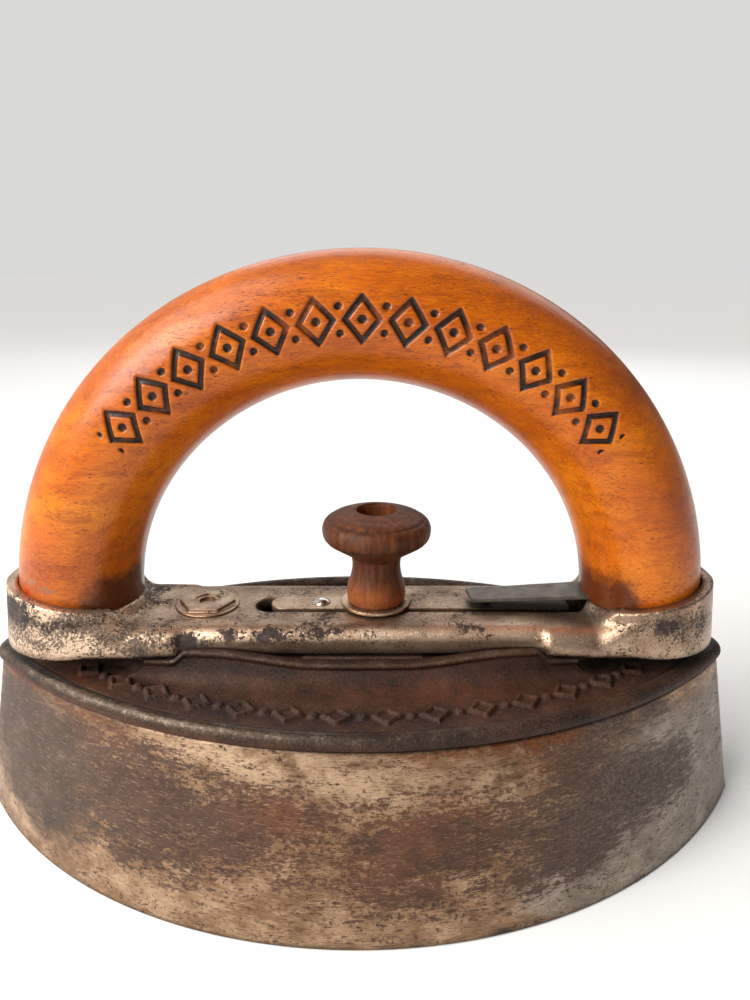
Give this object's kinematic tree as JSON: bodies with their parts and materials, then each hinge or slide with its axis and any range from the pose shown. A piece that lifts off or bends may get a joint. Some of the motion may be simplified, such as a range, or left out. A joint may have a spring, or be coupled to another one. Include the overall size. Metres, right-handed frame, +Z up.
{
  "type": "clothes iron",
  "caption": "Two-pointed cast-iron sad iron with a lift-off half-ring wooden handle and a spring latch worked by a turned wooden knob.",
  "frame": {"origin": "middle of the ironing face, on the surface the iron stands on", "axes": "+X along the iron from the catch end to the spring end, +Y to the back, +Z up"},
  "size_m": [0.164, 0.092, 0.1143],
  "materials": {
    "sole_iron": "ground and once nickel plated, worn, with brown rust patches",
    "plaster": "matt cast plaster",
    "cap_iron": "dark oxidised casting",
    "dark_steel": "dull oxidised steel",
    "worn_nickel": "worn nickel plate on a sand casting, pitted",
    "grip_wood": "glossy amber varnish",
    "plain_steel": "plain steel, lightly rusted",
    "spring_steel": "dull grey spring steel",
    "bright_rivet": "bright, worn smooth",
    "knob_wood": "dark turned wood, satin"
  },
  "bodies": {
    "base": {"sole_body": "sole_iron", "plaster_fill": "plaster", "top_cap": "cap_iron", "cap_screw_left": "dark_steel", "cap_screw_right": "dark_steel"},
    "handle": {"handle_frame": "worn_nickel", "wood_grip": "grip_wood", "grip_screw_left": "plain_steel", "grip_screw_right": "plain_steel", "hook_bolt": "plain_steel", "hook_nut": "worn_nickel", "leaf_spring": "spring_steel", "lever_pin": "plain_steel"},
    "latch": {"latch_lever": "dark_steel", "knob_plate": "worn_nickel", "plate_rivet": "bright_rivet", "release_knob": "knob_wood", "knob_washer": "plain_steel", "knob_screw": "dark_steel", "knob_nut": "plain_steel"}
  },
  "joints": [
    {"name": "handle_lift", "type": "slide", "parent": "base", "child": "handle", "axis": [0, 0, 1], "range_m": [0, 0.06]},
    {"name": "latch_lift", "type": "hinge", "parent": "handle", "child": "latch", "pos_m": [0.033, 0, 0.0403], "axis": [0, 1, 0], "range_deg": [0, 10], "stiffness_Nm_per_rad": 0.35, "springref_deg": -20.05, "deforming": ["leaf_spring"]}
  ]
}
